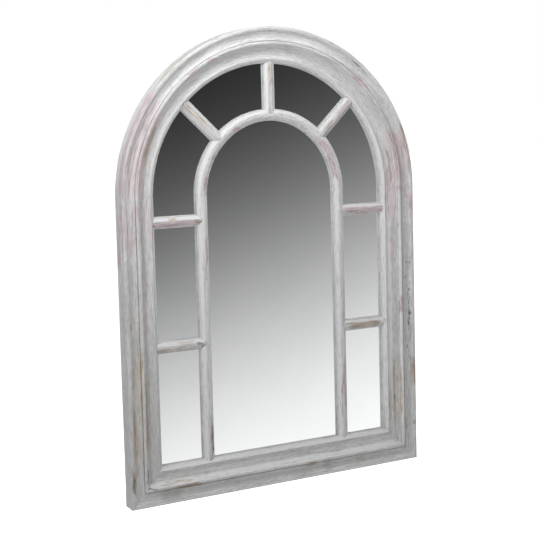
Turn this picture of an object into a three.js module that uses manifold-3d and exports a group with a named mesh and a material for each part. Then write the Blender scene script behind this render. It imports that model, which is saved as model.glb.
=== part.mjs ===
// Arched window mirror: a moulded, round-headed window frame with nine panes
// marked out by glazing bars over one sheet of mirror glass.
// Millimetres, +Z up. The front faces -Y and the wall side faces +Y.
// The pieces are drawn from the middle of the bottom edge at the front plane,
// and the whole is then moved so that its origin lies on the plane of the
// frame's back, midway along the hinge line of the two hanger rings.
import * as THREE from 'three';
import { mergeVertices } from 'three/addons/utils/BufferGeometryUtils.js';
import Module from 'manifold-3d';

// ---------------------------------------------------------------- dimensions
const WIDTH = 800;              // overall width
const HEIGHT = 1120;            // overall height
const HALF = WIDTH / 2;         // also the outer radius of the round head
const SPRING = HEIGHT - HALF;   // height at which the round head begins
const THICK = 45;               // depth of the frame, front plane to back

const FACE = 86.5;              // frame width, outer edge to the glass line
const GLASS_FRONT = 34;         // depth of the mirror surface behind the front
const GLASS_THICK = 4;
const REBATE = 77;              // outer edge to the wall of the glass rebate
const PANEL_THICK = 6;
const GAP = 0.3;                // clearance between touching pieces

const BAR_HALF = 14;            // half the width of a glazing bar
const BAR_TOP = 20;             // depth of the bar's crest behind the front
const BAR_EDGE = 26;            // depth of the bar's outer corner
const INNER_X = 189;            // centre line of the inner stiles and arch
const LOW_BAR_Z = 369;          // centre height of the lower cross bars
const HIGH_BAR_Z = 664;         // centre height of the upper cross bars
const RADIAL_ANGLE = 44;        // side radial bars, degrees from horizontal

const ARC_STEPS = 96;           // segments in a full turn of the mouldings

const PLATE_W = 16;             // hanger plate
const PLATE_L = 54;
const PLATE_T = 1.5;
const HANGER_X = 361.5;         // hangers sit on the middle of each stile
const HANGER_Z = 668;           // height of the ring's hinge line
const KNUCKLE_R = 3.9;
const KNUCKLE_BORE = 2.25;
const WIRE_R = 1.75;
const RING_W = 30;              // ring width, centre line to centre line
const RING_DROP = 25;           // hinge line to the far side of the ring
const SCREW_R = 1.75;           // shank radius of every wood screw
const PILOT_R = 1.85;
const CLIP_L = 34, CLIP_W = 13, CLIP_T = 1.4;
const BUMPER_R = 9, BUMPER_T = 5;

// ----------------------------------------------------------------- materials
const paint = (hex) => new THREE.MeshStandardMaterial({ color: hex, roughness: 0.72, metalness: 0 });
const M = {
  stile: paint(0xb9b4b1), rail: paint(0xa9a8a5), head: paint(0xd2d0ce), bar: paint(0xc6c1bd),
  mirror: new THREE.MeshStandardMaterial({ color: 0xdfe3e4, roughness: 0.03, metalness: 1 }),
  panel: new THREE.MeshStandardMaterial({ color: 0x8d6f4e, roughness: 0.8, metalness: 0 }),
  steel: new THREE.MeshStandardMaterial({ color: 0xb6b8ba, roughness: 0.35, metalness: 1 }),
  brass: new THREE.MeshStandardMaterial({ color: 0xb79a5a, roughness: 0.4, metalness: 1 }),
  rubber: new THREE.MeshStandardMaterial({ color: 0x3c3a38, roughness: 0.95, metalness: 0 }),
};

// ------------------------------------------------------------------ profiles
// Points are [u, d]: u runs from the outer edge towards the glass, d is the
// depth behind the front plane. Outer bead, hollow, raised bead between two
// quirks, wide hollow, inner ridge and bevel, then the rebate at the back.
const FRAME_PROFILE = [
  [0, THICK - 1], [0, 4.2], [0.7, 2.0], [2.4, 0.5], [4.8, 0], [7.4, 0.4], [9.4, 1.7], [10.6, 3.6],
  [12.2, 5.4], [15, 7.2], [19, 8.6], [23.5, 9.2], [28, 8.5], [31.6, 6.6], [33, 5.4],
  [34, 6.9], [35, 4.9], [36.8, 3.2], [39.2, 2.5], [41.6, 3.1], [43.2, 4.7],
  [44.2, 7.2], [45.6, 7.0], [48, 10.6], [51.5, 14.6], [56, 18.2], [61, 20.5], [66, 21.0],
  [70.5, 20.2], [74, 18.4], [76.4, 16.6], [77.8, 16.7],
  [84.6, 24.0], [86.0, 24.4], [FACE, 25.2],
  [FACE, GLASS_FRONT - GAP], [REBATE, GLASS_FRONT - GAP], [REBATE, THICK], [1, THICK],
];
// Half of a glazing bar, from the crest out to one edge: crowned crest,
// sloping flank, small quirk and lip, then a straight side down to the glass.
const BAR_HALF_PROFILE = [
  [0, BAR_TOP], [2.4, BAR_TOP + 0.15], [4.3, BAR_TOP + 0.7], [11.2, BAR_EDGE - 1.0],
  [12.0, BAR_EDGE - 0.3], [13.2, BAR_EDGE - 0.4], [BAR_HALF, BAR_EDGE + 0.5],
  [BAR_HALF, GLASS_FRONT - GAP],
];
// A closed bar section, grown by g on every visible side.
function barSection(g = 0) {
  const right = BAR_HALF_PROFILE.map(([u, d], i) =>
    [u === 0 ? 0 : u + g, i >= BAR_HALF_PROFILE.length - 1 ? d + g : d - g]);
  const left = right.slice(1).reverse().map(([u, d]) => [-u, d]);
  return [...left, ...right];
}
// The frame section grown by g towards the front and towards the glass.
function frameSection(g = 0) {
  if (!g) return FRAME_PROFILE;
  return FRAME_PROFILE.map(([u, d]) => [u >= FACE ? u + g : u, d < THICK - 1 && d < GLASS_FRONT - 1 ? d - g : d]);
}

// ---------------------------------------------------------------- mesh tools
const wasm = await Module();
wasm.setup();

function toSolid(geometry) {
  const g = geometry.index ? geometry.clone() : geometry.clone();
  g.deleteAttribute('normal');
  g.deleteAttribute('uv');
  const m = mergeVertices(g, 1e-4);
  return new wasm.Manifold(new wasm.Mesh({
    numProp: 3,
    vertProperties: Float32Array.from(m.attributes.position.array),
    triVerts: Uint32Array.from(m.index.array),
  }));
}
function toGeometry(solid) {
  const mesh = solid.getMesh();
  const g = new THREE.BufferGeometry();
  g.setAttribute('position', new THREE.BufferAttribute(Float32Array.from(mesh.vertProperties), 3));
  g.setIndex(new THREE.BufferAttribute(Uint32Array.from(mesh.triVerts), 1));
  g.computeVertexNormals();
  return g;
}
// A straight length of section: from and to are points of the line u = 0,
// d = 0; u points along inward and d along +Y.
function straight(section, from, to, inward) {
  const shape = new THREE.Shape(section.map(([u, d]) => new THREE.Vector2(u, d)));
  const a = new THREE.Vector3(...from), b = new THREE.Vector3(...to);
  const t = b.clone().sub(a);
  const geo = new THREE.ExtrudeGeometry(shape, { depth: t.length(), bevelEnabled: false, steps: 1 });
  const u = new THREE.Vector3(...inward).normalize();
  const d = new THREE.Vector3(0, 1, 0);
  t.normalize();
  geo.applyMatrix4(new THREE.Matrix4().makeBasis(u, d, t).setPosition(a));
  return toSolid(geo);
}
// A full ring of section round the Y axis through (0, 0, SPRING). toRadius
// turns a section's u into a radius.
function ring(section, toRadius) {
  let pts = section.map(([u, d]) => new THREE.Vector2(toRadius(u), d));
  if (THREE.ShapeUtils.area(pts) < 0) pts.reverse();
  pts.push(pts[0].clone());
  const geo = new THREE.LatheGeometry(pts, ARC_STEPS);
  geo.translate(0, 0, SPRING);
  return toSolid(geo);
}
function box(x0, x1, y0, y1, z0, z1) {
  const geo = new THREE.BoxGeometry(x1 - x0, y1 - y0, z1 - z0);
  geo.translate((x0 + x1) / 2, (y0 + y1) / 2, (z0 + z1) / 2);
  return toSolid(geo);
}
// A big block lying on the side of a plane that the normal points to.
function beyond(point, normal) {
  const geo = new THREE.BoxGeometry(3000, 3000, 3000);
  geo.translate(0, 0, 1500);
  const q = new THREE.Quaternion().setFromUnitVectors(new THREE.Vector3(0, 0, 1), new THREE.Vector3(...normal).normalize());
  geo.applyMatrix4(new THREE.Matrix4().compose(new THREE.Vector3(...point), q, new THREE.Vector3(1, 1, 1)));
  return toSolid(geo);
}
// A solid turned about an axis along Y, from [radius, y] points.
function turnedY(points, x, z, steps = 24) {
  let pts = points.map(([r, y]) => new THREE.Vector2(r, y));
  const first = pts[0], last = pts[pts.length - 1];
  if (first.x !== 0) pts.unshift(new THREE.Vector2(0, first.y));
  if (last.x !== 0) pts.push(new THREE.Vector2(0, last.y));
  if (THREE.ShapeUtils.area(pts) < 0) pts.reverse();
  const geo = new THREE.LatheGeometry(pts, steps);
  geo.translate(x, 0, z);
  return toSolid(geo);
}
function prismY(points, y0, y1) {
  const shape = new THREE.Shape(points.map(([x, z]) => new THREE.Vector2(x, z)));
  const geo = new THREE.ExtrudeGeometry(shape, { depth: y1 - y0, bevelEnabled: false, steps: 1 });
  // local x stays x, local y becomes z, local z becomes -y
  geo.applyMatrix4(new THREE.Matrix4().makeBasis(
    new THREE.Vector3(1, 0, 0), new THREE.Vector3(0, 0, 1), new THREE.Vector3(0, -1, 0)));
  geo.translate(0, y1, 0);
  return toSolid(geo);
}
const all = (list) => list.reduce((a, b) => a.add(b));

const model = new THREE.Group();
function place(name, solid, material) {
  const mesh = new THREE.Mesh(toGeometry(solid), material);
  mesh.name = name;
  model.add(mesh);
  return mesh;
}

// ------------------------------------------------------------ fixing points
// Retaining clips for the back panel, as [x, z, angle of the clip]: the clip
// lies across the rebate, with its screw in the frame.
const clipSpots = [];
for (const z of [190, 540]) for (const s of [-1, 1]) clipSpots.push([s * (HALF - REBATE + 12), z, 0]);
for (const x of [-190, 190]) clipSpots.push([x, REBATE - 12, 90]);
for (const a of [140, 90, 40]) {
  const r = HALF - REBATE + 12, t = a * Math.PI / 180;
  clipSpots.push([r * Math.cos(t), SPRING + r * Math.sin(t), a]);
}
const plateScrewZ = [HANGER_Z - 33, HANGER_Z - 47];
const pilot = (x, z) => turnedY([[PILOT_R, THICK - 17], [PILOT_R, THICK + 2]], x, z, 16);
const clipPilots = clipSpots.map(([x, z]) => pilot(x, z));
const platePilots = [-1, 1].flatMap((s) => plateScrewZ.map((z) => pilot(s * HANGER_X, z)));
const bumperSpots = [[-330, 38], [330, 38]];
const allPilots = all([...clipPilots, ...platePilots]);

// ------------------------------------------------------------ outer moulding
const g2 = GAP / 2;
const leftMitre = [-HALF, 0, 0], rightMitre = [HALF, 0, 0];
const step = g2 * Math.SQRT1_2;

let leftStile = straight(FRAME_PROFILE, [-HALF, 0, -10], [-HALF, 0, SPRING - g2], [1, 0, 0]);
leftStile = leftStile.subtract(beyond([leftMitre[0] - step, 0, step], [1, 0, -1])).subtract(allPilots);
let rightStile = straight(FRAME_PROFILE, [HALF, 0, SPRING - g2], [HALF, 0, -10], [-1, 0, 0]);
rightStile = rightStile.subtract(beyond([rightMitre[0] + step, 0, step], [-1, 0, -1])).subtract(allPilots);
let bottomRail = straight(FRAME_PROFILE, [HALF + 10, 0, 0], [-HALF - 10, 0, 0], [0, 0, 1]);
bottomRail = bottomRail
  .subtract(beyond([leftMitre[0] + step, 0, -step], [-1, 0, 1]))
  .subtract(beyond([rightMitre[0] - step, 0, -step], [1, 0, 1]))
  .subtract(allPilots);
const headRing = ring(FRAME_PROFILE, (u) => HALF - u);
let archHead = headRing.subtract(beyond([0, 0, SPRING + g2], [0, 0, -1])).subtract(allPilots);
place('left_stile', leftStile, M.stile);
place('right_stile', rightStile, M.stile);
place('bottom_rail', bottomRail, M.rail);
place('arch_head', archHead, M.head);

// The outer moulding grown a little, for scribing the bars to it.
const grownFrame = frameSection(GAP);
const grownHead = ring(grownFrame, (u) => HALF - u);
const grownSides = all([
  straight(grownFrame, [-HALF, 0, -5], [-HALF, 0, SPRING + 5], [1, 0, 0]),
  straight(grownFrame, [HALF, 0, SPRING + 5], [HALF, 0, -5], [-1, 0, 0]),
]);
const grownRail = straight(grownFrame, [HALF, 0, 0], [-HALF, 0, 0], [0, 0, 1]);

// -------------------------------------------------------------- glazing bars
const bar = barSection();
const grownBar = barSection(GAP);
const SCRIBE = 75;               // the bars start under the moulding, this far from the outer edge
function innerStile(s) {
  const up = s < 0;
  const body = up
    ? straight(bar, [s * INNER_X, 0, SCRIBE], [s * INNER_X, 0, SPRING - g2], [1, 0, 0])
    : straight(bar, [s * INNER_X, 0, SPRING - g2], [s * INNER_X, 0, SCRIBE], [-1, 0, 0]);
  return body.subtract(grownRail);
}
place('inner_left_stile', innerStile(-1), M.bar);
place('inner_right_stile', innerStile(1), M.bar);
const innerArch = ring(bar, (u) => INNER_X + u).subtract(beyond([0, 0, SPRING + g2], [0, 0, -1]));
place('inner_arch', innerArch, M.bar);

const grownInner = all([
  ring(grownBar, (u) => INNER_X + u),
]);
const grownInnerStiles = all([
  straight(grownBar, [-INNER_X, 0, 50], [-INNER_X, 0, SPRING + 5], [1, 0, 0]),
  straight(grownBar, [INNER_X, 0, SPRING + 5], [INNER_X, 0, 50], [-1, 0, 0]),
]);
function crossBar(s, z) {
  const x0 = s * (INNER_X + 0), x1 = s * (HALF - SCRIBE);
  const body = s < 0
    ? straight(bar, [x0, 0, z], [x1, 0, z], [0, 0, 1])
    : straight(bar, [x1, 0, z], [x0, 0, z], [0, 0, 1]);
  return body.subtract(grownSides).subtract(grownInnerStiles);
}
place('upper_left_bar', crossBar(-1, HIGH_BAR_Z), M.bar);
place('lower_left_bar', crossBar(-1, LOW_BAR_Z), M.bar);
place('upper_right_bar', crossBar(1, HIGH_BAR_Z), M.bar);
place('lower_right_bar', crossBar(1, LOW_BAR_Z), M.bar);
function radialBar(angle) {
  const t = angle * Math.PI / 180;
  const dir = new THREE.Vector3(Math.cos(t), 0, Math.sin(t));
  const centre = new THREE.Vector3(0, 0, SPRING);
  const from = centre.clone().addScaledVector(dir, INNER_X);
  const to = centre.clone().addScaledVector(dir, HALF - SCRIBE);
  const inward = new THREE.Vector3(0, 1, 0).cross(dir);
  return straight(bar, from.toArray(), to.toArray(), inward.toArray()).subtract(grownHead).subtract(grownInner);
}
place('left_radial_bar', radialBar(180 - RADIAL_ANGLE), M.bar);
place('top_radial_bar', radialBar(90), M.bar);
place('right_radial_bar', radialBar(RADIAL_ANGLE), M.bar);

// ---------------------------------------------------------- glass and panel
function archOutline(inset, steps = 48) {
  const r = HALF - inset, pts = [[-r, inset], [r, inset]];
  for (let i = 0; i <= steps; i++) {
    const t = Math.PI * i / steps;
    pts.push([r * Math.cos(t), SPRING + r * Math.sin(t)]);
  }
  return pts;
}
place('mirror_glass', prismY(archOutline(REBATE + 0.8), GLASS_FRONT, GLASS_FRONT + GLASS_THICK), M.mirror);
const panelBack = GLASS_FRONT + GLASS_THICK + GAP + PANEL_THICK;
place('back_panel', prismY(archOutline(REBATE + 1.2), GLASS_FRONT + GLASS_THICK + GAP, panelBack), M.panel);

// ------------------------------------------------------------ clips, screws
function stadium(x, z, angle, len, wid, n = 10) {
  const t = angle * Math.PI / 180, c = Math.cos(t), s = Math.sin(t), r = wid / 2, h = len / 2 - r, pts = [];
  for (let i = 0; i <= n; i++) { const a = -Math.PI / 2 + Math.PI * i / n; pts.push([h + r * Math.cos(a), r * Math.sin(a)]); }
  for (let i = 0; i <= n; i++) { const a = Math.PI / 2 + Math.PI * i / n; pts.push([-h + r * Math.cos(a), r * Math.sin(a)]); }
  return pts.map(([a, b]) => [x + a * c - b * s, z + a * s + b * c]);
}
clipSpots.forEach(([x, z, a], i) => {
  const t = a * Math.PI / 180;
  // the clip reaches from its screw towards the middle of the panel
  const dx = a === 0 ? -Math.sign(x) : (z < SPRING ? 0 : -Math.cos(t));
  const dz = a === 0 ? 0 : (z < SPRING ? 1 : -Math.sin(t));
  const cx = x + dx * 10, cz = z + dz * 10;
  place(`panel_clip_${i + 1}`, prismY(stadium(cx, cz, a, CLIP_L, CLIP_W), THICK + GAP, THICK + GAP + CLIP_T)
    .subtract(turnedY([[SCREW_R + 0.5, THICK - 5], [SCREW_R + 0.5, THICK + 8]], x, z, 16)), M.steel);
});
// Pan head screw standing in its pilot hole, with a crossed driver slot.
function screw(x, z, seat) {
  const y = seat + GAP;
  const body = turnedY([
    [0, THICK - 15], [SCREW_R - 0.3, THICK - 11], [SCREW_R - 0.3, y],
    [3.4, y], [3.3, y + 0.9], [2.2, y + 2.0], [0, y + 2.3],
  ], x, z, 14);
  const slot = box(x - 0.35, x + 0.35, y + 1.2, y + 4, z - 2, z + 2).add(box(x - 2, x + 2, y + 1.2, y + 4, z - 0.35, z + 0.35));
  return body.subtract(slot);
}
clipSpots.forEach(([x, z], i) => place(`clip_screw_${i + 1}`, screw(x, z, THICK + GAP + CLIP_T), M.steel));

// ------------------------------------------------------------------- hangers
// A strap folded round the straight side of a D-shaped ring, so that the ring
// swings about the strap's knuckle.
const axisY = THICK + GAP + KNUCKLE_R;
function tubeX(x0, x1, r, y, z, n = 24) {
  const geo = new THREE.CylinderGeometry(r, r, x1 - x0, n);
  geo.rotateZ(Math.PI / 2);
  geo.translate((x0 + x1) / 2, y, z);
  return toSolid(geo);
}
function hangerPlate(cx) {
  const y0 = THICK + GAP, y1 = y0 + PLATE_T;
  const n = 10, r = PLATE_W / 2, zb = HANGER_Z - PLATE_L + r;
  const pts = [[cx - r, HANGER_Z], [cx - r, zb]];
  for (let i = 1; i < n; i++) { const a = Math.PI + Math.PI * i / n; pts.push([cx + r * Math.cos(a), zb + r * Math.sin(a)]); }
  pts.push([cx + r, zb], [cx + r, HANGER_Z]);
  let body = prismY(pts, y0, y1).add(tubeX(cx - PLATE_W / 2, cx + PLATE_W / 2, KNUCKLE_R, axisY, HANGER_Z, 28));
  body = body.subtract(tubeX(cx - PLATE_W, cx + PLATE_W, KNUCKLE_BORE, axisY, HANGER_Z, 28));
  for (const z of plateScrewZ) body = body.subtract(turnedY([[SCREW_R + 0.5, THICK - 5], [SCREW_R + 0.5, THICK + 8]], cx, z, 16));
  return body;
}
function hangerRing(cx) {
  const y = axisY, w = RING_W / 2, rc = 5, path = [];
  const arcN = 14;
  // D-shaped centre line: straight top in the knuckle, round bottom
  path.push([w - rc, 0]);
  for (let i = 1; i <= 4; i++) { const a = Math.PI / 2 - Math.PI / 2 * i / 4; path.push([w - rc + rc * Math.cos(a), -rc + rc * Math.sin(a)]); }
  const drop = RING_DROP - w;
  for (let i = 0; i <= arcN; i++) { const a = -Math.PI * i / arcN; path.push([w * Math.cos(a), -drop + w * Math.sin(a)]); }
  for (let i = 0; i < 4; i++) { const a = Math.PI - Math.PI / 2 * i / 4; path.push([-w + rc + rc * Math.cos(a), -rc + rc * Math.sin(a)]); }
  path.push([-w + rc, 0]);
  const points = path.map(([x, z]) => new THREE.Vector3(cx + x, y, HANGER_Z + z));
  // sweep a round wire along the closed path by mitred rings
  const n = points.length, sides = 12, verts = [], idx = [];
  for (let i = 0; i < n; i++) {
    const prev = points[(i + n - 1) % n], cur = points[i], next = points[(i + 1) % n];
    const t1 = cur.clone().sub(prev).normalize(), t2 = next.clone().sub(cur).normalize();
    const t = t1.clone().add(t2).normalize();
    const side = new THREE.Vector3(0, 1, 0).cross(t).normalize();
    const k = 1 / Math.max(0.5, t.dot(t2));
    for (let j = 0; j < sides; j++) {
      const a = 2 * Math.PI * j / sides;
      const p = cur.clone().addScaledVector(side, WIRE_R * Math.cos(a) * k).addScaledVector(new THREE.Vector3(0, 1, 0), WIRE_R * Math.sin(a));
      verts.push(p.x, p.y, p.z);
    }
  }
  for (let i = 0; i < n; i++) for (let j = 0; j < sides; j++) {
    const a = i * sides + j, b = i * sides + (j + 1) % sides, c = ((i + 1) % n) * sides + j, d = ((i + 1) % n) * sides + (j + 1) % sides;
    idx.push(a, c, b, b, c, d);
  }
  const geo = new THREE.BufferGeometry();
  geo.setAttribute('position', new THREE.Float32BufferAttribute(verts, 3));
  geo.setIndex(idx);
  const solid = toSolid(geo);
  if (solid.volume() < 0) {
    const flipped = [];
    for (let i = 0; i < idx.length; i += 3) flipped.push(idx[i], idx[i + 2], idx[i + 1]);
    geo.setIndex(flipped);
    return toSolid(geo);
  }
  return solid;
}
for (const [side, s] of [['left', -1], ['right', 1]]) {
  place(`${side}_hanger_plate`, hangerPlate(s * HANGER_X), M.steel);
  place(`${side}_hanger_ring`, hangerRing(s * HANGER_X), M.steel);
  plateScrewZ.forEach((z, i) => place(`${side}_hanger_screw_${i ? 'lower' : 'upper'}`, screw(s * HANGER_X, z, THICK + GAP + PLATE_T), M.steel));
}

// ------------------------------------------------------------- wall bumpers
for (const [name, [x, z]] of [['left_wall_bumper', bumperSpots[0]], ['right_wall_bumper', bumperSpots[1]]]) {
  const y = THICK + GAP;
  place(name, turnedY([[0, y], [BUMPER_R, y], [BUMPER_R, y + BUMPER_T - 1], [BUMPER_R - 1, y + BUMPER_T], [0, y + BUMPER_T]], x, z, 24), M.rubber);
}

model.position.set(0, -THICK, -HANGER_Z);
model.updateMatrixWorld(true);

export default model;
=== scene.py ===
import math

import bmesh
import bpy
import numpy as np
from mathutils import Matrix, Vector
from mathutils.geometry import tessellate_polygon


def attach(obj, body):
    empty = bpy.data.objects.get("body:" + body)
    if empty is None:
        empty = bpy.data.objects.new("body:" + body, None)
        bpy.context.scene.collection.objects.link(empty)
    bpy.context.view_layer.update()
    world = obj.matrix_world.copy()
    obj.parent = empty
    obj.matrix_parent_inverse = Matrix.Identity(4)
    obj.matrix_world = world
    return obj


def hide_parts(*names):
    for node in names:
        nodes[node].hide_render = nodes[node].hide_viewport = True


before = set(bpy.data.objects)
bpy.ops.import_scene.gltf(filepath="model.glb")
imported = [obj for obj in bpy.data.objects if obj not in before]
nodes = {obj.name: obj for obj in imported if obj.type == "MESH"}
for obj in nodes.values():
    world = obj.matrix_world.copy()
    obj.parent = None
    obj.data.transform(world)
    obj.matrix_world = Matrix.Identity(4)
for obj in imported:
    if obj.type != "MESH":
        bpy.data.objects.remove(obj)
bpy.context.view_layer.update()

scene = bpy.context.scene

# =============================================================== dimensions
# Millimetres, as the solids are drawn: x across, d behind the front plane, z
# up from the bottom edge. to_m turns a drawn point into the frame's metres.
HALF, SPRING, THICK, HANGER_Z = 400.0, 720.0, 45.0, 668.0
FACE, REBATE, GLASS_FRONT, GAP = 86.5, 77.0, 34.0, 0.3
INNER_X, BAR_HALF = 189.0, 14.0
LOW_BAR_Z, HIGH_BAR_Z, RADIAL_ANGLE = 369.0, 664.0, 44.0
SCRIBE = 75.0


def to_m(p):
    p = np.asarray(p, float)
    return np.stack([p[..., 0], p[..., 1] - THICK, p[..., 2] - HANGER_Z], -1) / 1000


# =================================================================== camera
def make_camera():
    f, ppx, ppy = 1195.6, 270.0, 216.0
    yaw, pitch, roll = 0.4876, -0.0841, -0.0257
    at = Vector((-1.7152 * 0.8, -3.1853 * 0.8 - 0.045, 1.1348 * 0.8 - 0.668))
    fwd = Vector((math.sin(yaw) * math.cos(pitch), math.cos(yaw) * math.cos(pitch), math.sin(pitch)))
    right = Vector((math.cos(yaw), -math.sin(yaw), 0))
    up = right.cross(fwd)
    c, s = math.cos(roll), math.sin(roll)
    r, u = c * right + s * up, -s * right + c * up
    data = bpy.data.cameras.new("camera")
    data.sensor_width, data.sensor_fit = 36, "HORIZONTAL"
    data.lens = f / 540 * 36
    data.shift_x, data.shift_y = (270 - ppx) / 540, -(270 - ppy) / 540
    data.clip_start, data.clip_end = 0.05, 200
    cam = bpy.data.objects.new("camera", data)
    m = Matrix((r, u, -fwd)).transposed().to_4x4()
    m.translation = at
    cam.matrix_world = m
    scene.collection.objects.link(cam)
    scene.camera = cam
    return cam


make_camera()


# ==================================================================== noise
def _hash(ix, iy, seed):
    with np.errstate(over="ignore"):
        h = ix.astype(np.uint32) * np.uint32(374761393) + iy.astype(np.uint32) * np.uint32(668265263)
        h = h + np.uint32((seed * 2246822519) & 0xFFFFFFFF)
        h = (h ^ (h >> np.uint32(13))) * np.uint32(1274126177)
        h = (h ^ (h >> np.uint32(15))) * np.uint32(2246822519)
        h = h ^ (h >> np.uint32(16))
    return (h & np.uint32(0xFFFF)).astype(float) / 65535.0


def vnoise(x, y, seed=0):
    """Smooth value noise in 0..1."""
    ix, iy = np.floor(x).astype(np.int64), np.floor(y).astype(np.int64)
    fx, fy = x - ix, y - iy
    fx, fy = fx * fx * (3 - 2 * fx), fy * fy * (3 - 2 * fy)
    a, b = _hash(ix, iy, seed), _hash(ix + 1, iy, seed)
    c, d = _hash(ix, iy + 1, seed), _hash(ix + 1, iy + 1, seed)
    return (a * (1 - fx) + b * fx) * (1 - fy) + (c * (1 - fx) + d * fx) * fy


def smooth01(x, a, b):
    t = np.clip((x - a) / (b - a), 0, 1)
    return t * t * (3 - 2 * t)


# ================================================================= profiles
FRAME_FRONT = [
    (0, 4.2), (0.7, 2.0), (2.4, 0.5), (4.8, 0), (7.4, 0.4), (9.4, 1.7), (10.6, 3.6),
    (12.2, 5.4), (15, 7.2), (19, 8.6), (23.5, 9.2), (28, 8.5), (31.6, 6.6), (33, 5.4),
    (34, 6.9), (35, 4.9), (36.8, 3.2), (39.2, 2.5), (41.6, 3.1), (43.2, 4.7),
    (44.2, 7.2), (45.6, 7.0), (48, 10.6), (51.5, 14.6), (56, 18.2), (61, 20.5), (66, 21.0),
    (70.5, 20.2), (74, 18.4), (76.4, 16.6), (77.8, 16.7),
    (83.2, 22.8), (83.7, 24.4), (84.5, 24.0), (86.0, 24.4), (86.5, 25.2)]
SHARP_FRONT = {10.6, 33, 34, 35, 44.2, 45.6, 76.4, 77.8, 83.2, 83.7, 84.5, 86.0, 86.5}
BAR_HALF_PROFILE = [(0, 20), (2.6, 20.05), (4.0, 20.35), (10.8, 24.7), (11.5, 26.1), (12.3, 25.5), (13.4, 25.7), (14, 26.6), (14, 33.7)]
SHARP_BAR = {4.0, 10.8, 11.5, 12.3, 13.4, 14}


def spline(points, sharp, step=0.1):
    """A dense curve through the points: smooth, but with a corner at each sharp u."""
    P = np.array(points, float)
    cuts = [0] + [i for i in range(1, len(P) - 1) if P[i, 0] in sharp] + [len(P) - 1]
    out = []
    for a, b in zip(cuts[:-1], cuts[1:]):
        seg = P[a:b + 1]
        if len(seg) == 2:
            n = max(2, int(np.linalg.norm(seg[1] - seg[0]) / step))
            t = np.linspace(0, 1, n, endpoint=False)[:, None]
            out.append(seg[0] * (1 - t) + seg[1] * t)
            continue
        ext = np.vstack([2 * seg[0] - seg[1], seg, 2 * seg[-1] - seg[-2]])
        for i in range(1, len(ext) - 2):
            p0, p1, p2, p3 = ext[i - 1:i + 3]
            n = max(2, int(np.linalg.norm(p2 - p1) / step))
            t = np.linspace(0, 1, n, endpoint=False)[:, None]
            out.append(0.5 * ((2 * p1) + (-p0 + p2) * t + (2 * p0 - 5 * p1 + 4 * p2 - p3) * t ** 2
                              + (-p0 + 3 * p1 - 3 * p2 + p3) * t ** 3))
    out.append(P[-1:])
    return np.vstack(out)


def even(curve, step):
    s = np.r_[0, np.cumsum(np.linalg.norm(np.diff(curve, axis=0), axis=1))]
    n = max(2, int(round(s[-1] / step)) + 1)
    t = np.linspace(0, s[-1], n)
    return np.stack([np.interp(t, s, curve[:, 0]), np.interp(t, s, curve[:, 1])], -1)


def soften(curve, sigma, step):
    """Rounds the corners of an evenly spaced open curve as a coat of paint does."""
    r = int(4 * sigma / step)
    k = np.exp(-0.5 * (np.arange(-r, r + 1) * step / sigma) ** 2)
    k /= k.sum()
    head = 2 * curve[:1] - curve[1:r + 1][::-1]
    tail = 2 * curve[-1:] - curve[-r - 1:-1][::-1]
    padded = np.vstack([head, curve, tail])
    return np.stack([np.convolve(padded[:, i], k, "valid") for i in (0, 1)], -1)


def adaptive(curve, wide, tight):
    """Picks points of a dense curve, wide apart where it is flat and close where it bends."""
    d = np.diff(curve, axis=0)
    ds = np.linalg.norm(d, axis=1)
    ang = np.unwrap(np.arctan2(d[:, 1], d[:, 0]))
    bend = np.abs(np.gradient(ang)) / ds
    k = np.ones(9) / 9
    bend = np.convolve(bend, k, "same")
    gap = wide / (1 + bend * wide * 3.2)
    gap = np.maximum(gap, tight)
    cost = np.r_[0, np.cumsum(ds / gap)]
    n = int(math.ceil(cost[-1])) + 1
    t = np.linspace(0, cost[-1], n)
    s = np.interp(t, cost, np.arange(len(curve)))
    return np.stack([np.interp(s, np.arange(len(curve)), curve[:, i]) for i in (0, 1)], -1)


def line(a, b, step):
    n = max(1, int(round(math.dist(a, b) / step)))
    t = np.linspace(0, 1, n, endpoint=False)[:, None]
    return np.array(a, float) * (1 - t) + np.array(b, float) * t


def frame_section():
    """Closed section of the outer moulding: points, and where the painted front begins and ends."""
    base = spline(FRAME_FRONT, SHARP_FRONT, 0.05)
    dense = soften(even(base, 0.05), 0.2, 0.05)
    front = adaptive(dense, 1.15, 0.24)
    # arc length 0 is the front's outer corner, so that the sides and back count from it
    side = line((0, THICK - 1.0), (front[0, 0], front[0, 1]), 2.6)
    tail = np.vstack([line(front[-1], (FACE, 33.7), 2.2), line((FACE, 33.7), (REBATE, 33.7), 4),
                      line((REBATE, 33.7), (REBATE, THICK), 5), line((REBATE, THICK), (1.0, THICK), 5.0),
                      line((1.0, THICK), (0, THICK - 1.0), 1)])
    pts = np.vstack([side, front, tail[1:]])
    return pts, len(side)


def bar_section():
    half = spline(BAR_HALF_PROFILE[:-1], SHARP_BAR, 0.04)
    left = half[::-1].copy()
    left[:, 0] *= -1
    whole = np.vstack([left[:-1], half])
    dense = soften(even(whole, 0.05), 0.15, 0.05)
    front = adaptive(dense, 0.95, 0.26)
    w = front[-1, 0]
    lo = 33.7
    pts = np.vstack([line((-BAR_HALF, lo), tuple(front[0]), 1.8), front,
                     line(tuple(front[-1]), (BAR_HALF, lo), 1.8)[1:], line((BAR_HALF, lo), (-BAR_HALF, lo), 4.0)])
    return pts, len(line((-BAR_HALF, lo), tuple(front[0]), 1.8))


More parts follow.
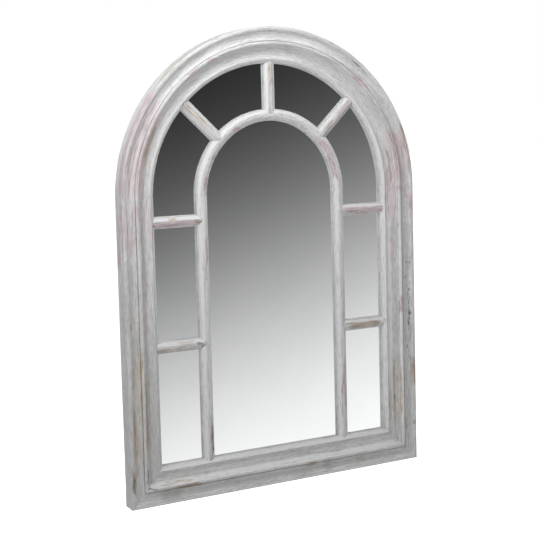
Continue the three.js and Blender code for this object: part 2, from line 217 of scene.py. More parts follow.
def section_facts(pts, zero):
    """Outward normals, arc length from point `zero`, and how convex or hollow the section is at each point."""
    n = len(pts)
    nxt, prv = np.roll(pts, -1, 0), np.roll(pts, 1, 0)
    t = nxt - prv
    t /= np.linalg.norm(t, axis=1)[:, None] + 1e-12
    area = 0.5 * np.sum(pts[:, 0] * nxt[:, 1] - nxt[:, 0] * pts[:, 1])
    nrm = np.stack([t[:, 1], -t[:, 0]], -1) * (1 if area > 0 else -1)
    seg = np.linalg.norm(nxt - pts, axis=1)
    s = np.r_[0, np.cumsum(seg)[:-1]]
    s = s - s[zero]
    # curvature spread over a few millimetres
    total = seg.sum()
    grid = np.arange(0, total, 0.25)
    s0 = s - s[0]
    ang = np.unwrap(np.arctan2(nrm[:, 1], nrm[:, 0]))
    full = np.r_[ang, ang[0] + 2 * np.pi * np.sign(area)]
    g = np.interp(grid, np.r_[s0, total], full)
    turn = np.gradient(g) / 0.25 * np.sign(area)

    def spread(sigma):
        r = int(4 * sigma / 0.25)
        k = np.exp(-0.5 * (np.arange(-r, r + 1) * 0.25 / sigma) ** 2)
        k /= k.sum()
        return np.convolve(np.r_[turn[-r:], turn, turn[:r]], k, "valid")
    fine, broad = spread(0.7), spread(2.2)
    return nrm, s, np.interp(s0, grid, fine), np.interp(s0, grid, broad)


# ============================================================ swept members
made = {}


def relief(across, along, convex, seed):
    """How far the wood's surface lies under its clean moulding, in millimetres."""
    a = 0.05 * vnoise(across / 12.0, along / 160.0, seed)
    a += 0.05 * vnoise(across / 1.9, along / 46.0, seed + 1)
    a += 0.04 * vnoise(across / 0.9, along / 14.0, seed + 2)
    edge = np.clip(convex * 1.6, 0, 1)
    nick = smooth01(vnoise(across / 3.0, along / 5.0, seed + 3) * 0.6 + vnoise(across / 9.0, along / 31.0, seed + 4) * 0.5, 0.80, 0.98)
    a += nick * edge * 0.4
    rub = smooth01(vnoise(across / 14.0, along / 45.0, seed + 5), 0.5, 0.95)
    a += rub * edge * 0.12
    return a


def shade_in_hollows(name, u):
    """Painted shade: colour darkened in the wide hollows of the outer moulding where shade falls, lighter on the
    bars.
    """
    if "_bar_" in name or name.startswith("inner"):
        return 0.06 * smooth01(np.abs(u), 9.0, 12.4)
    k = 0.42 * smooth01(u, 10.5, 14) * (1 - smooth01(u, 20, 27))
    if name == "bottom_rail_wood":
        k += 0.45 * smooth01(u, 50, 54) * (1 - smooth01(u, 56, 63))
    else:
        k += 0.75 * smooth01(u, 44.8, 48) * (1 - smooth01(u, 54, 63))
    k += 0.3 * smooth01(u, 31, 33) * (1 - smooth01(u, 33.4, 35))
    return k * (0.35 if name == "arch_head_wood" else 1.0)


def sweep(name, section, zero, start, end, place, step, ident, side_u=True, grain=None):
    """A member swept along its length. start and end give the length coordinate of each section point at the two
    ends, so that mitred and scribed ends follow their neighbours; place turns (u, d, along) into a drawn point."""
    pts = section
    nrm, s, convex, broad = section_facts(pts, zero)
    n = len(pts)
    a0, a1 = start(pts[:, 0], pts[:, 1]), end(pts[:, 0], pts[:, 1])
    m = max(3, int(round((a1 - a0).max() / step)) + 1)
    # stations are evenly spaced along the member
    w = np.linspace(0, 1, m)
    along = a0[None, :] * (1 - w[:, None]) + a1[None, :] * w[:, None]
    U, D = np.broadcast_to(pts[:, 0], (m, n)), np.broadcast_to(pts[:, 1], (m, n))
    S = np.broadcast_to(s, (m, n))
    C = np.broadcast_to(convex, (m, n))
    # coordinates along the grain; members that meet end to end share theirs, so that streaks run on through the joint
    gid, flow, flip = grain or (ident, lambda a: a, False)
    if flip:
        mid = int(np.argmin(np.where(pts[:, 1] < 33, np.abs(pts[:, 0]), 99)))
        S = 2 * S[:, mid:mid + 1] - S
    GA, GL = S + gid * 61.0, flow(along) + gid * 977.0
    depth = relief(GA, GL, C, gid * 7 + 11)
    visible = (pts[:, 1] < 33.0).astype(float)
    back = ((pts[:, 1] > THICK - 2) & (pts[:, 0] < REBATE + 1)).astype(float)
    depth = depth * np.broadcast_to(visible, (m, n)) + 0.05 * vnoise(U / 3.0, along / 40.0, ident + 90) * np.broadcast_to(back, (m, n))
    U2 = U - nrm[None, :, 0] * depth
    D2 = D - nrm[None, :, 1] * depth
    P = place(U2, D2, along)
    verts = to_m(P).reshape(-1, 3)
    i = np.arange(m - 1)[:, None] * n
    j = np.arange(n)[None, :]
    j2 = (j + 1) % n
    quads = np.stack([i + j, i + j2, i + n + j2, i + n + j], -1).reshape(-1, 4)
    tri = tessellate_polygon([[Vector((float(a), float(b), 0)) for a, b in pts]])
    caps0 = np.array([t for t in tri], int)
    caps1 = caps0[:, ::-1] + (m - 1) * n
    a_, b_, c_ = verts[quads[:, 0]], verts[quads[:, 1]], verts[quads[:, 2]]
    d_ = verts[quads[:, 3]]
    centre = verts.mean(0)

    def vol(x, y, z):
        return np.einsum("ij,ij->i", x - centre, np.cross(y - centre, z - centre)).sum()
    quadvol = vol(a_, b_, c_) + vol(a_, c_, d_)
    if quadvol < 0:
        quads = quads[:, ::-1]
    # the caps face away from the member's middle
    p = verts[caps0]
    nn = np.cross(p[:, 1] - p[:, 0], p[:, 2] - p[:, 0]).sum(0)
    mid = verts[n:2 * n].mean(0) - verts[:n].mean(0)
    if nn @ mid > 0:
        caps0, caps1 = caps0[:, ::-1], caps1[:, ::-1]
    me = bpy.data.meshes.new(name)
    faces_v = np.concatenate([quads.ravel(), caps0.ravel(), caps1.ravel()])
    starts = np.concatenate([np.arange(len(quads)) * 4, len(quads) * 4 + np.arange(len(caps0) + len(caps1)) * 3])
    totals = np.concatenate([np.full(len(quads), 4), np.full(len(caps0) + len(caps1), 3)])
    me.vertices.add(len(verts))
    me.vertices.foreach_set("co", verts.astype(np.float32).ravel())
    me.loops.add(len(faces_v))
    me.loops.foreach_set("vertex_index", faces_v.astype(np.int32))
    me.polygons.add(len(starts))
    me.polygons.foreach_set("loop_start", starts.astype(np.int32))
    me.polygons.foreach_set("loop_total", totals.astype(np.int32))
    me.polygons.foreach_set("use_smooth", np.ones(len(starts), bool))
    me.update(calc_edges=True)
    me.validate()
    # what the finish needs to know of the moulding
    gr = np.stack([GA, GL, np.full_like(GA, gid * 3.7)], -1)
    at = me.attributes.new("grain", "FLOAT_VECTOR", "POINT")
    at.data.foreach_set("vector", gr.reshape(-1, 3).astype(np.float32).ravel())
    # u along the sides goes on below zero, so that marks can be set there too
    around = np.where((np.arange(n) < zero) & side_u, -(pts[:, 1] - pts[zero, 1]), pts[:, 0])
    UM = np.broadcast_to(around, (m, n))
    # painted shade in the wide hollows, carried to the material in the form attribute
    hollow = np.clip(shade_in_hollows(name, UM), 0, 1)
    crisp = np.clip(C * 1.5, 0, 1)
    # painted shade: a dark line in concave creases, weaker on the arch's inner band and the stiles' inner bevel
    quirk_shade = np.clip(-C * 1.1 - 0.12, 0, 1)
    if name == "arch_head_wood":
        quirk_shade = quirk_shade * (0.6 - 0.5 * smooth01(UM, 70, 74))
    elif side_u:
        quirk_shade = quirk_shade * (0.8 - 0.7 * smooth01(UM, 79, 82))
        if name == "bottom_rail_wood":
            quirk_shade = quirk_shade * (1 - 0.8 * smooth01(UM, 41, 43) * (1 - smooth01(UM, 47, 49)))
    else:
        quirk_shade = quirk_shade * 0.6
    at = me.attributes.new("form", "FLOAT_VECTOR", "POINT")
    at.data.foreach_set("vector", np.stack([crisp, hollow, quirk_shade], -1).reshape(-1, 3).astype(np.float32).ravel())
    bare = np.broadcast_to(((pts[:, 1] > THICK - 0.6) | ((pts[:, 1] > 33.6) & (pts[:, 0] > REBATE - 1) & (pts[:, 0] < FACE - 0.2))).astype(float), (m, n))
    k = finish_marks(name, UM, along, ident)
    if not side_u:
        k["w"] = np.clip(k["w"] + 0.45, 0, 1)
    ends = np.minimum(along - a0[None, :], a1[None, :] - along)
    scribed = 1.0 if "_bar_" in name else 0.12
    grime = np.exp(-np.clip(ends, 0, None) / 2.0) * (0.45 + 0.55 * vnoise(UM / 4.0, along * 0 + ident, ident + 40))
    k["d"] = np.clip(k["d"] + 0.8 * scribed * grime, 0, 1)
    worn = np.exp(-np.clip(ends, 0, None) / 7.0) * smooth01(vnoise(UM / 6.0, along / 9.0, ident + 41), 0.45, 0.8)
    k["m"] = np.clip(k["m"] + 0.5 * scribed * worn, 0, 1)
    at = me.attributes.new("marks", "FLOAT_VECTOR", "POINT")
    at.data.foreach_set("vector", np.stack([k["m"], k["b"], k["w"]], -1).reshape(-1, 3).astype(np.float32).ravel())
    at = me.attributes.new("tints", "FLOAT_VECTOR", "POINT")
    at.data.foreach_set("vector", np.stack([k["o"], k["d"], k["g"]], -1).reshape(-1, 3).astype(np.float32).ravel())
    at = me.attributes.new("bare", "FLOAT", "POINT")
    at.data.foreach_set("value", bare.reshape(-1).astype(np.float32))
    me.set_sharp_from_angle(angle=math.radians(42))
    ob = bpy.data.objects.new(name, me)
    scene.collection.objects.link(ob)
    made[name] = ob
    return ob


def finish_marks(name, u, along, ident):
    """Where the finish differs on one piece, each 0 to 1: m mauve undercoat, b brown wood, o ochre wood, w thicker
    white paint and painted highlight on lit flanks, bevels and beads, d dark grime and painted shade in grooves and
    on shaded flanks, s dark speckle, g grey wash and painted shade on shaded flanks. A mark is (u from, u to, along
    from, along to, kind, amount); a capital letter follows the moulding exactly instead of wandering."""
    k = {c: np.zeros_like(u) for c in "mbowdgs"}
    # edges of a mark wander a little
    wu = u + 3.0 * (vnoise(along / 26.0, u * 0 + 3.0, ident + 50) - 0.5)
    wa = along + 26.0 * (vnoise(u / 5.0, along / 90.0, ident + 51) - 0.5)
    for u0, u1, a0, a1, kind, amount in MARKS.get(name[:-5], []):
        exact, kind = kind.isupper(), kind.lower()
        soft_u, soft_a = 0.5 if exact else max(0.9, (u1 - u0) * 0.22), max(5.0, (a1 - a0) * 0.16)
        uu = u if exact else wu
        v = smooth01(uu, u0 - soft_u, u0 + soft_u) * (1 - smooth01(uu, u1 - soft_u, u1 + soft_u))
        v = v * smooth01(wa, a0 - soft_a, a0 + soft_a) * (1 - smooth01(wa, a1 - soft_a, a1 + soft_a))
        if kind in "bo":
            v = v * (0.45 + 1.0 * vnoise(u / 2.0, along / 30.0, ident + 52))
        k[kind] += v * amount
    fleck = smooth01(0.62 * vnoise(u / 1.5, along / 7.0, ident + 53) + 0.38 * vnoise(u / 6.0, along / 40.0, ident + 54), 0.54, 0.74)
    k["d"] += 0.55 * k.pop("s") * fleck
    return {c: np.clip(v, 0, 1) for c, v in k.items()}


def from_left(*marks):
    """The arch's own length runs from its right foot; these are measured from its left foot."""
    return [(u0, u1, math.pi * R_REF - b, math.pi * R_REF - a, kind, v) for u0, u1, a, b, kind, v in marks]


def turned(*marks):
    """For a piece whose own u runs the other way."""
    return [(-u1, -u0, a, b, kind, v) for u0, u1, a, b, kind, v in marks]


R_REF = 357.0
# Some marks stand for light: capital W bands along flanks, bevels and beads facing the lights are painted highlight;
# capital D lines in grooves are painted shade.
MARKS = {
    "left_stile": [
        (4, 20, 80, 340, "b", 0.55), (12, 20, 110, 240, "b", 0.75), (25, 36, 100, 340, "o", 0.85),
        (25, 42, 300, 480, "o", 0.5), (4, 24, 90, 420, "o", 0.35), (14, 22, 300, 470, "b", 0.45), (41, 60, 100, 335, "b", 0.8), (2, 9, 44, 90, "d", 0.75), (0, 14, 36, 100, "b", 0.6), (4, 30, 590, 722, "w", 0.85), (-38, -3, 560, 722, "w", 0.4),
        (39, 45, 52, 86, "d", 0.75), (44, 60, 380, 570, "b", 0.45), (44, 60, 380, 570, "m", 0.5),
        (-24, -3, 430, 560, "b", 0.4), (7, 15, 412, 428, "b", 0.8), (-12, 86, 600, 722, "m", 0.55),
        # the D line at u 32.4 to 34.4 is painted shade in the quirk groove
        (32.4, 34.4, 40, 720, "D", 0.4), (60, 78, 60, 340, "g", 0.45),
        (10, 30, 60, 420, "g", 0.3), (-40, -2, 100, 420, "g", 0.25), (60, 76, 380, 600, "w", 0.4),
        (-38, -20, 560, 700, "m", 0.4), (-40, -3, 300, 720, "m", 0.35), (4, 30, 340, 600, "m", 0.35),
        (35, 43, 420, 720, "w", 0.4), (41, 46, 380, 720, "W", 0.6), (83, 86.6, 430, 720, "W", 0.8), (60, 76, 600, 720, "w", 0.5),
        (6, 34, 40, 420, "s", 0.5), (44, 60, 90, 420, "s", 0.5), (40, 62, 420, 720, "s", 0.3), (-30, -2, 60, 560, "s", 0.25)],
    "right_stile": [
        (-20, 15, 88, 102, "b", 0.75), (-20, 14, 190, 280, "b", 0.95), (11, 14, 250, 390, "d", 0.4),
        (14, 18, 330, 460, "d", 0.4), (17, 21, 420, 540, "d", 0.4), (24, 40, 80, 112, "d", 0.45),
        (55, 60, 80, 270, "b", 0.9), (55, 58, 90, 250, "d", 0.35), (62, 77, 100, 180, "b", 0.6), (42, 52, 120, 260, "o", 0.85),
        (35, 47, 390, 430, "m", 0.9), (50, 60, 530, 580, "m", 0.9), (47, 80, 620, 730, "m", 0.6), (45, 78, 620, 722, "w", 0.6), (12, 47, 696, 740, "m", 0.6), (-20, 12, 640, 740, "b", 0.3),
        (-12, 14, 640, 705, "m", 0.8), (16, 34, 250, 640, "g", 0.35), (8, 34, 40, 240, "g", 0.4),
        (60, 76, 250, 640, "W", 0.75), (60, 76, 100, 190, "o", 0.5), (60, 76, 100, 260, "W", 0.3), (36, 44.6, 60, 640, "W", 1.0), (0, 9, 300, 620, "g", 0.25), (77.6, 83, 80, 720, "W", 0.9), (83, 86.6, 80, 720, "W", 0.9),
        (9, 24, 240, 560, "s", 0.6), (7, 24, 260, 560, "m", 0.3), (6, 32, 60, 720, "s", 0.55), (44, 60, 80, 620, "s", 0.6), (18, 30, 560, 720, "s", 0.7)],
    "bottom_rail": [
        (27, 41, -282, -218, "b", 0.7), (30, 41, -360, -220, "b", 0.45), (27, 40, -290, -230, "m", 0.5),
        (44, 52, -320, -250, "o", 0.4), (5, 41, -322, -268, "g", 0.8), (27, 42, 58, 102, "b", 0.6),
        (27, 42, 60, 100, "m", 0.4), (8, 40, 118, 142, "g", 0.8), (17, 30, 228, 242, "o", 0.8),
        (17, 30, 226, 244, "g", 0.6), (27, 37, -148, -132, "b", 0.6), (51, 55, 90, 190, "d", 0.45),
        (52, 62, -100, -70, "o", 0.5), (14, 32, -240, 340, "g", 0.45), 
        # the D line at u 8.6 to 10.8 is painted shade in a groove; the W bands on the up-facing bead and cove are
        # painted highlight
        (36, 40, -230, 350, "g", 0.3), (60, 77, -340, 360, "w", 0.2), (42.2, 46.2, -353, 352, "W", 1.0), (8.6, 10.8, -380, 380, "D", 0.35), (45, 54, -340, 350, "W", 0.85),
        (77.6, 83.2, -320, 320, "W", 1.0), (83, 86.6, -320, 320, "W", 1.0), (45, 49, -330, 340, "o", 0.35), (0, 7, -396, 396, "W", 0.6),
        (10, 40, -380, 380, "s", 0.5), (46, 60, -320, 340, "s", 0.4), (39, 46, -352, -340, "d", 0.8)],
    "arch_head": from_left(
        (-20, 60, 0, 250, "m", 0.62), (35, 60, 50, 190, "b", 0.45), (46, 58, 92, 184, "b", 0.55), (44, 60, 80, 190, "m", 0.3), (36, 60, 60, 190, "o", 0.3),
        (52, 62, 0, 62, "m", 0.9), (52, 60, 4, 50, "d", 0.2), (35, 50, 380, 410, "m", 0.7), (35, 47, 320, 350, "m", 0.8),
        # the D lines at u 9.8 to 11.6 and 41.4 to 43.2 are painted shade in grooves
        (-24, -4, 270, 360, "o", 0.8), (7, 17, 540, 680, "g", 0.2), (9.8, 11.6, 340, 820, "D", 0.25), (6, 30, 0, 260, "w", 0.7), (-36, -3, 0, 270, "w", 0.6), (-36, -3, 0, 250, "m", 0.25), (36, 48, 370, 420, "w", 0.6), (10, 12.5, 780, 840, "d", 0.5),
        (27, 45, 810, 852, "m", 0.9), (41.4, 43.2, 830, 1100, "D", 0.6), (-20, 12, 980, 1082, "b", 0.8),
        (-20, 12, 970, 1090, "m", 0.6), (12, 55, 980, 1122, "m", 0.75), (53, 60, 1020, 1110, "b", 0.85), (50, 80, 1080, 1140, "m", 0.6), (45, 76, 1060, 1130, "w", 0.5), (77.6, 83, 0, 960, "W", 1.0), (77.6, 83, 940, 1122, "W", 0.7), (60, 76, 600, 1000, "w", 0.2), (15, 35, 600, 900, "w", 0.3),
        (6, 34, 560, 1080, "s", 0.35), (40, 58, 700, 1080, "s", 0.35), (5, 32, 120, 560, "s", 0.3), (60, 76, 0, 250, "W", 0.4),
        (15, 31, 380, 760, "w", 0.35), (-2, 9, 240, 560, "w", 0.35),
        (24, 34, 240, 420, "w", 0.45), (44, 60, 640, 900, "g", 0.15)),
    "inner_left_stile": [
        (2, 12, 86, 170, "b", 0.85), (2, 12, 96, 150, "d", 0.3), (2, 12, 560, 620, "m", 0.9), (-1.5, 1.5, 180, 520, "o", 0.5),
        (-13.5, -4, 86, 740, "W", 1.0), (-12, 4, 640, 700, "m", 0.3), (4, 13, 180, 560, "W", 0.5), (-3, 12, 560, 740, "w", 0.5),
        (-2, 12, 80, 200, "s", 0.8)],
    "inner_right_stile": turned(
        (-13.5, -4, 86, 740, "W", 1.0), (-12, -5, 440, 720, "m", 0.3), (-1, 12, 150, 480, "s", 0.5), (4, 13, 86, 720, "W", 0.35), (-8, -2, 100, 230, "b", 0.5), (0, 12, 150, 300, "m", 0.7), (0, 12, 160, 290, "b", 0.35),
        (0, 12, 355, 480, "b", 0.5), (-2, 2, 200, 520, "g", 0.3), (-12, -5, 240, 430, "w", 0.35), (2, 12, 520, 600, "m", 0.35)),
    "inner_arch": from_left(
        (-14, 0, 36, 96, "m", 0.9), (-14, 0, 178, 208, "m", 0.8), (-14, 0, 350, 380, "m", 0.8), (5, 13.5, 0, 850, "W", 1.0), (5, 13.5, 850, 1122, "W", 0.4),
        # the d line at u -14 to -11.5 is a painted contact shadow along the inner arch's inner foot at the glass
        (-14, -11.5, 190, 850, "d", 0.35), (-12, 0, 830, 1080, "m", 0.85), (-11, -2, 860, 1070, "b", 0.3),
        (-12, -4, 1060, 1140, "w", 0.8),
        (2, 14, 256, 272, "d", 0.4), (2, 14, 545, 561, "d", 0.4), (2, 14, 820, 836, "d", 0.5), (0, 10, 850, 1121, "m", 0.45)),
    "upper_left_bar": [
        (-12, 3, 190, 322, "m", 0.85), (-12, 3, 206, 322, "b", 0.3), (-10, 3, 306, 322, "b", 0.55), (-10, 2, 190, 212, "b", 0.95), (3, 9, 264, 284, "o", 0.8),
        (4, 13.5, 190, 322, "W", 0.95), (-12, 3, 190, 322, "s", 0.5)],
    "lower_left_bar": [
        (-12, 3, 238, 322, "b", 0.6), (-12, 3, 238, 322, "o", 0.6), (-12, 3, 216, 240, "g", 0.6), (-12, 3, 192, 212, "b", 0.95), (3, 8, 218, 272, "o", 0.6),
        (4, 13.5, 190, 322, "W", 1.0), (-12, 3, 190, 322, "s", 0.6)],
    "upper_right_bar": [
        (-12, 8, 190, 322, "m", 0.85), (-6, 2, 246, 274, "o", 0.7), (-6, 2, 246, 274, "b", 0.35), (-5, -2, 206, 242, "d", 0.45),
        (5, 13.5, 190, 322, "W", 0.9), (-12, 8, 200, 300, "b", 0.2), (-12, 4, 190, 322, "s", 0.6)],
    "lower_right_bar": [
        (-10, 7, 204, 308, "b", 0.9), (-10, 5, 230, 308, "o", 0.5), (2, 4, 206, 256, "o", 0.7), (5, 13.5, 190, 322, "W", 0.95), (-12, 4, 190, 322, "s", 0.6)],
    "left_radial_bar": [
        (-5, 7, 226, 314, "o", 0.9), (-6, 8, 290, 316, "m", 0.8), (-3.2, -2, 200, 314, "D", 0.35), (3.6, 4.6, 196, 312, "D", 0.3), (7, 13, 282, 316, "g", 0.7)],
    "top_radial_bar": [
        (-10, 4, 256, 276, "m", 0.9), (-10, 4, 274, 314, "b", 0.7), (-10, 4, 270, 314, "o", 0.5), (-4.6, -3.6, 196, 312, "D", 0.3), (1, 5, 194, 205, "b", 0.8), (7, 13.5, 190, 322, "W", 0.7), (0, 6, 200, 316, "g", 0.7), (-12, 3, 190, 322, "s", 0.4),
        (-4, 6, 200, 260, "g", 0.2)],
    "right_radial_bar": [
        (-7, 5, 208, 242, "b", 0.85), (-5, 3, 240, 260, "b", 0.5), (-1, 7, 258, 316, "m", 0.9), (-12, -4, 190, 322, "m", 0.6),
        # the D and g marks on the lower flank, u -14 to -3, are painted shade on the side turned from the lights
        (8, 13.5, 190, 322, "W", 0.9), (-14, -8, 190, 322, "D", 0.35), (-12, -3, 190, 322, "g", 0.8), (-8, 6, 200, 310, "s", 0.5)],
}

frame_sec, frame_zero = frame_section()
bar_sec, bar_zero = bar_section()
h = 0.03                        # half the hairline left where painted joints meet
mit = h * math.sqrt(2)
SEAM = 0.1                      # clearance at the scribed ends of the bars


def const(v):
    return lambda u, d: np.full_like(u, float(v))


# outer moulding
sweep("left_stile_wood", frame_sec, frame_zero, lambda u, d: u + mit, const(SPRING - h),
      lambda u, d, a: np.stack([-HALF + u, d, a], -1), 3.0, 1,
      grain=(4, lambda a: math.pi * R_REF + SPRING - a, False))
sweep("right_stile_wood", frame_sec, frame_zero, lambda u, d: u + mit, const(SPRING - h),
      lambda u, d, a: np.stack([HALF - u, d, a], -1), 3.0, 2,
      grain=(4, lambda a: a - SPRING, False))
sweep("bottom_rail_wood", frame_sec, frame_zero, lambda u, d: -HALF + u + mit, lambda u, d: HALF - u - mit,
      lambda u, d, a: np.stack([a, d, u], -1), 3.0, 3)


def on_arch(to_radius):
    """along is a length on a reference circle, from the right springing to the left one."""
    def place(u, d, a):
        r = to_radius(u)
        t = a / R_REF
        return np.stack([r * np.cos(t), d, SPRING + r * np.sin(t)], -1)
    return place


def springing(to_radius, side):
    def f(u, d):
        r = to_radius(u)
        t = np.arcsin(np.clip(h / r, -1, 1))
        return R_REF * (t if side > 0 else math.pi - t)
    return f


sweep("arch_head_wood", frame_sec, frame_zero, springing(lambda u: HALF - u, 1), springing(lambda u: HALF - u, -1),
      on_arch(lambda u: HALF - u), 3.0, 4)

# glazing bars
bar_front = np.array(BAR_HALF_PROFILE[:-1], float)


def bar_reach(d):
    """Distance from a bar's centre line to its surface at depth d, gap included."""
    order = np.maximum.accumulate(bar_front[:, 1])
    return np.interp(d + SEAM, order, bar_front[:, 0], left=0.0, right=BAR_HALF) + np.where(d > 26.2, SEAM, 0)


def bevel_reach(d):
    """How far in from the outer edge the moulding's inner bevel lies at depth d, gap included."""
    part = np.array([(77.8, 16.7), (83.2, 22.8), (84.3, 24.0), (86.0, 24.4), (86.5, 25.2)])
    return np.interp(d + SEAM, part[:, 1], part[:, 0], left=77.8, right=FACE) + np.where(d > 25, SEAM, 0)


for s, side in ((-1, "left"), (1, "right")):
    sweep(f"inner_{side}_stile_wood", bar_sec, bar_zero, lambda u, d: bevel_reach(d), const(SPRING - h),
          (lambda u, d, a, s=s: np.stack([s * (INNER_X - u), d, a], -1)), 2.6, 5 + (s > 0), side_u=False,
          grain=(11, (lambda a: a - SPRING) if s > 0 else (lambda a: math.pi * R_REF + SPRING - a), True))
    for level, z in (("upper", HIGH_BAR_Z), ("lower", LOW_BAR_Z)):
        sweep(f"{level}_{side}_bar_wood", bar_sec, bar_zero,
              lambda u, d: INNER_X + bar_reach(d), lambda u, d: HALF - bevel_reach(d),
              (lambda u, d, a, s=s, z=z: np.stack([s * a, d, z + u], -1)), 2.2, 7 + (s > 0) + 2 * (level == "upper"),
              side_u=False)
sweep("inner_arch_wood", bar_sec, bar_zero, springing(lambda u: INNER_X + u, 1), springing(lambda u: INNER_X + u, -1),
      on_arch(lambda u: INNER_X + u), 4.2, 11, side_u=False)
for k, (nm, ang) in enumerate((("left", 180 - RADIAL_ANGLE), ("top", 90), ("right", RADIAL_ANGLE))):
    t = math.radians(ang)
    c, sn = math.cos(t), math.sin(t)
    sweep(f"{nm}_radial_bar_wood", bar_sec, bar_zero,
          lambda u, d: np.sqrt((INNER_X + bar_reach(d)) ** 2 - u ** 2),
          lambda u, d: np.sqrt((HALF - bevel_reach(d)) ** 2 - u ** 2),
          (lambda u, d, a, c=c, sn=sn: np.stack([a * c - u * sn, d, SPRING + a * sn + u * c], -1)), 2.2, 12 + k,
          side_u=False)

for nm, ob in made.items():
    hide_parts(nm[:-5])
    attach(ob, "mirror")


# ============================================================ back hardware
def add_mesh(name, verts, faces, smooth=50):
    me = bpy.data.meshes.new(name)
    me.from_pydata([tuple(map(float, v)) for v in verts], [], [tuple(map(int, f)) for f in faces])
    bm = bmesh.new()
    bm.from_mesh(me)
    bmesh.ops.remove_doubles(bm, verts=bm.verts, dist=1e-7)
    bmesh.ops.recalc_face_normals(bm, faces=bm.faces)
    bm.to_mesh(me)
    bm.free()
    # the flat front and back of a plate are shaded flat, its rounded edges smooth
    me.set_sharp_from_angle(angle=math.radians(smooth))
    me.polygons.foreach_set("use_smooth", [abs(p.normal.y) < 0.99999 or p.area < 1e-8 for p in me.polygons])
    return me


def put(name, me, node, body="mirror"):
    ob = bpy.data.objects.new(name, me)
    scene.collection.objects.link(ob)
    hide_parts(node)
    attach(ob, body)
    return ob


def joined(*parts):
    """Several (verts, faces) lists as one."""
    V, F = [], []
    for v, f in parts:
        n = len(V)
        V += [tuple(p) for p in v]
        F += [tuple(i + n for i in face) for face in f]
    return V, F


def turned_part(profile, x, z, n=48):
    """A turned shape round the Y direction; profile is a list of (radius, d), with radius 0 at both ends."""
    V, F = [], []
    rows = []
    for r, d in profile:
        if r < 1e-6:
            rows.append([len(V)])
            V.append(to_m((x, d, z)))
        else:
            rows.append(list(range(len(V), len(V) + n)))
            for i in range(n):
                a = 2 * math.pi * i / n
                V.append(to_m((x + r * math.cos(a), d, z + r * math.sin(a))))
    for a, b in zip(rows[:-1], rows[1:]):
        for i in range(n):
            j = (i + 1) % n
            if len(a) == 1:
                F.append((a[0], b[i], b[j]))
            elif len(b) == 1:
                F.append((a[i], b[0], a[j]))
            else:
                F.append((a[i], b[i], b[j], a[j]))
    return V, F


def inset(loop, r):
    """A closed loop of (x, z) moved inwards by r; loops run anticlockwise, holes clockwise."""
    P = np.array(loop, float)
    a, b = np.roll(P, 1, 0), np.roll(P, -1, 0)
    t1, t2 = P - a, b - P
    t1 /= np.linalg.norm(t1, axis=1)[:, None]
    t2 /= np.linalg.norm(t2, axis=1)[:, None]
    n1, n2 = np.stack([-t1[:, 1], t1[:, 0]], -1), np.stack([-t2[:, 1], t2[:, 0]], -1)
    n = n1 + n2
    n /= np.maximum(1e-9, (n * n1).sum(1) * np.linalg.norm(n, axis=1) / np.maximum(1e-9, np.linalg.norm(n, axis=1)))[:, None]
    return P + n * r


def plate(loops, d0, d1, r, steps=4):
    """A flat plate with rounded edges: loops[0] is its outline, the rest are holes; d0 to d1 is its thickness."""
    V, F = [], []
    caps = {0: [], 1: []}
    for loop in loops:
        n = len(loop)
        rows = []
        section = [(r * (1 - math.sin(math.pi / 2 * i / steps)), d0 + r * (1 - math.cos(math.pi / 2 * i / steps))) for i in range(steps + 1)]
        section = section + [(o, d1 - (d - d0)) for o, d in section[::-1]]
        for o, d in section:
            q = inset(loop, o)
            rows.append(range(len(V), len(V) + n))
            for x, z in q:
                V.append(to_m((x, d, z)))
        for a, b in zip(rows[:-1], rows[1:]):
            for i in range(n):
                j = (i + 1) % n
                F.append((a[i], a[j], b[j], b[i]))
        caps[0].append((inset(loop, section[0][0]), rows[0]))
        caps[1].append((inset(loop, section[-1][0]), rows[-1]))
    for side in (0, 1):
        polys = [[Vector((float(x), float(z), 0)) for x, z in q] for q, _ in caps[side]]
        index = [i for _, row in caps[side] for i in row]
        for tri in tessellate_polygon(polys):
            F.append(tuple(index[i] for i in tri))
    return V, F


def circle(x, z, r, n=40, hole=False):
    s = -1 if hole else 1
    return [(x + r * math.cos(s * 2 * math.pi * i / n), z + r * math.sin(s * 2 * math.pi * i / n)) for i in range(n)]


def stadium(x, z, angle, length, width, n=20):
    t = math.radians(angle)
    c, s, r = math.cos(t), math.sin(t), width / 2
    hl, pts = length / 2 - r, []
    for sgn, a0 in ((1, -math.pi / 2), (-1, math.pi / 2)):
        for i in range(n + 1):
            a = a0 + math.pi * i / n
            pts.append((sgn * hl + r * math.cos(a), r * math.sin(a)))
    return [(x + a * c - b * s, z + a * s + b * c) for a, b in pts]


def arch_loop(cut, n=160):
    r = HALF - cut
    pts = [(-r + 2 * r * i / 40, cut) for i in range(40)]
    pts += [(r, cut + (SPRING - cut) * i / 40) for i in range(40)]
    pts += [(r * math.cos(math.pi * i / n), SPRING + r * math.sin(math.pi * i / n)) for i in range(n)]
    pts += [(-r, SPRING - (SPRING - cut) * i / 40) for i in range(40)]
    return pts


# glass and the board behind it
GLASS_THICK, BOARD_THICK = 4.0, 6.0
glass = put("mirror_sheet", add_mesh("mirror_sheet", *plate([arch_loop(REBATE + 0.8)], GLASS_FRONT, GLASS_FRONT + GLASS_THICK, 0.4, 2)),
            "mirror_glass")
board_front = GLASS_FRONT + GLASS_THICK + GAP
board_ob = put("backing_board", add_mesh("backing_board", *plate([arch_loop(REBATE + 1.2)], board_front, board_front + BOARD_THICK, 0.7, 3)),
               "back_panel")

# fixing points
clip_spots = [(s * (HALF - REBATE + 12), z, 0) for z in (190, 540) for s in (-1, 1)]
clip_spots += [(x, REBATE - 12, 90) for x in (-190, 190)]
for a in (140, 90, 40):
    r, t = HALF - REBATE + 12, math.radians(a)
    clip_spots.append((r * math.cos(t), SPRING + r * math.sin(t), a))
CLIP_T, PLATE_T, SCREW_HOLE = 1.4, 1.5, 2.25


